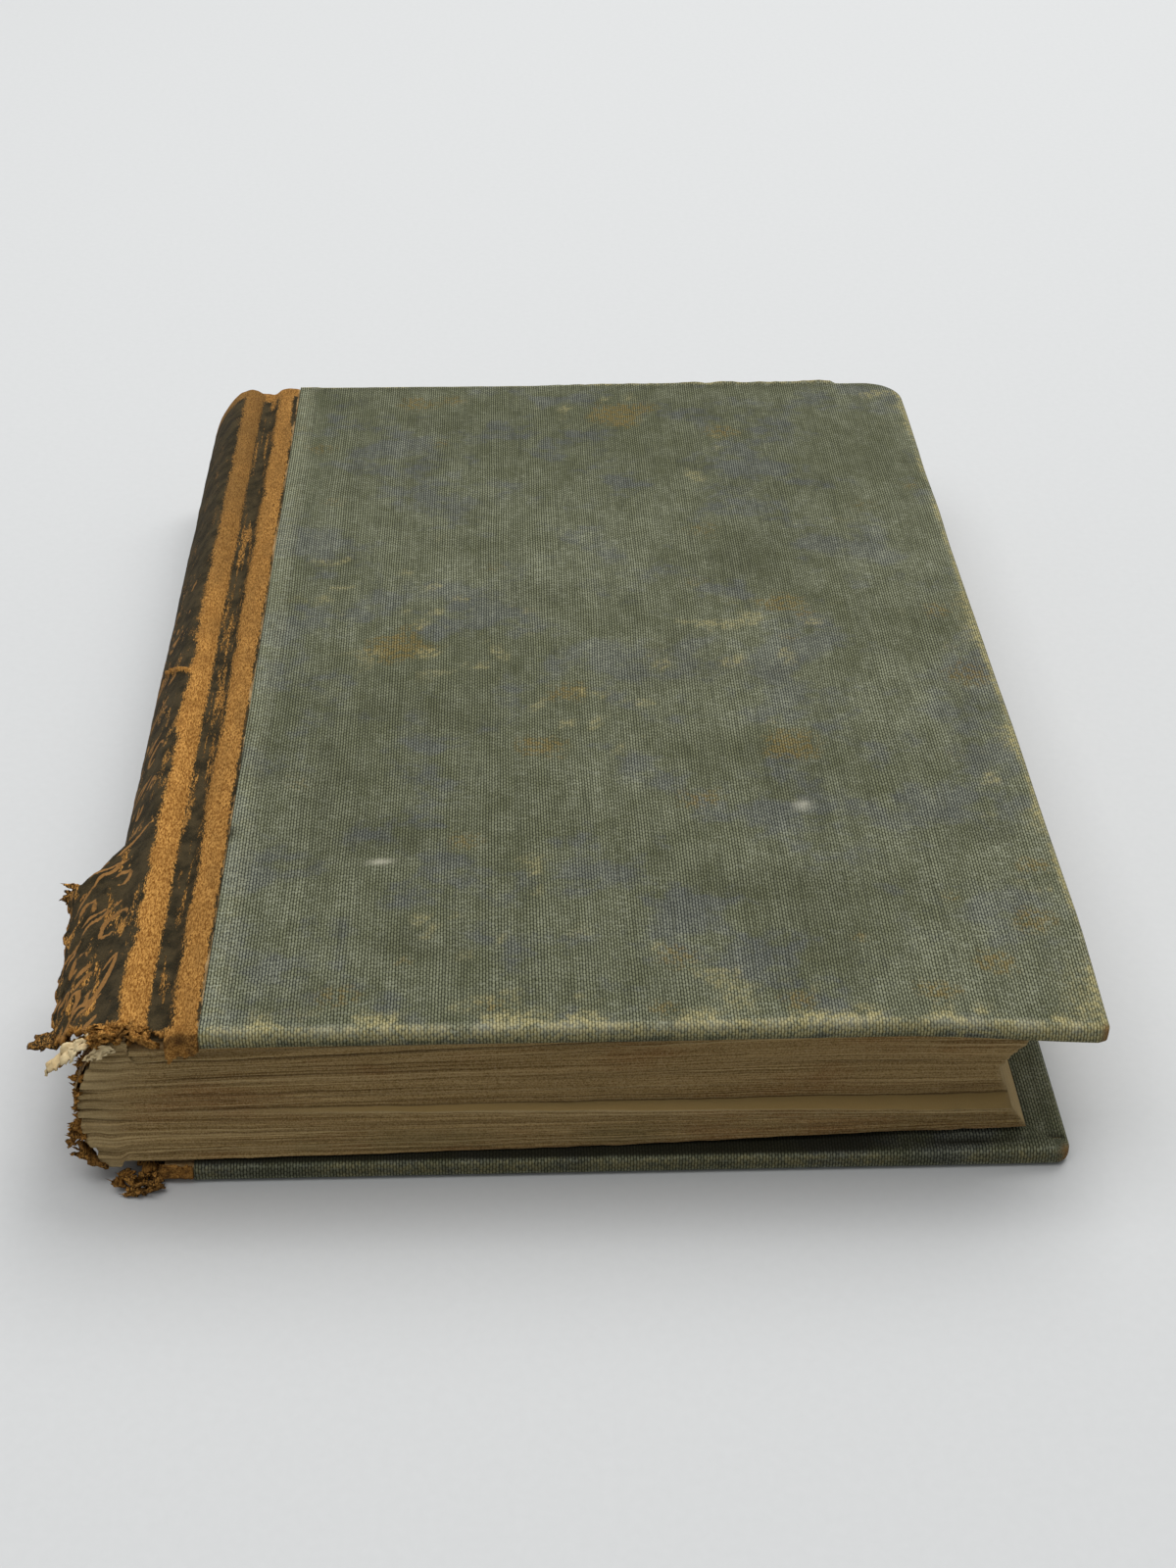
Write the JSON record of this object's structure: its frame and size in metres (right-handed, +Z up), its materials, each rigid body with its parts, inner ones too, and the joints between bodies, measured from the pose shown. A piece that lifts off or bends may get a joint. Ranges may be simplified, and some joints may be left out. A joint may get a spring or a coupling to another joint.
{
  "type": "hardback book",
  "caption": "Old quarter-leather hardback book with worn green cloth sides, a torn leather spine and both covers hinged to the block of leaves.",
  "frame": {"origin": "middle of the back cover's outer face, which the book lies on", "axes": "+X from the spine to the fore-edge, +Y from the tail to the head, +Z up through the closed book"},
  "size_m": [0.1626, 0.225, 0.03],
  "materials": {
    "cloth": "matte, woven and rubbed",
    "spine_leather": "matte, dry and rotted",
    "board_leather": "matte, worn to the suede",
    "board": "matte",
    "endpaper": "matte",
    "leaves": "matte, toned",
    "lining": "matte"
  },
  "bodies": {
    "book_block": {"text_block": "leaves", "spine_lining": "lining", "spine_leather": "spine_leather"},
    "front_cover": {"front_board": "board", "front_cloth": "cloth", "front_pastedown": "endpaper", "front_leather": "board_leather"},
    "back_cover": {"back_board": "board", "back_cloth": "cloth", "back_pastedown": "endpaper", "back_leather": "board_leather"}
  },
  "joints": [
    {"name": "front_cover_hinge", "type": "hinge", "parent": "book_block", "child": "front_cover", "pos_m": [-0.0708, 0, 0.03], "axis": [0, -1, 0], "range_deg": [0, 175]},
    {"name": "back_cover_hinge", "type": "hinge", "parent": "book_block", "child": "back_cover", "pos_m": [-0.0738, 0, 0], "axis": [0, 1, 0], "range_deg": [0, 175]}
  ]
}
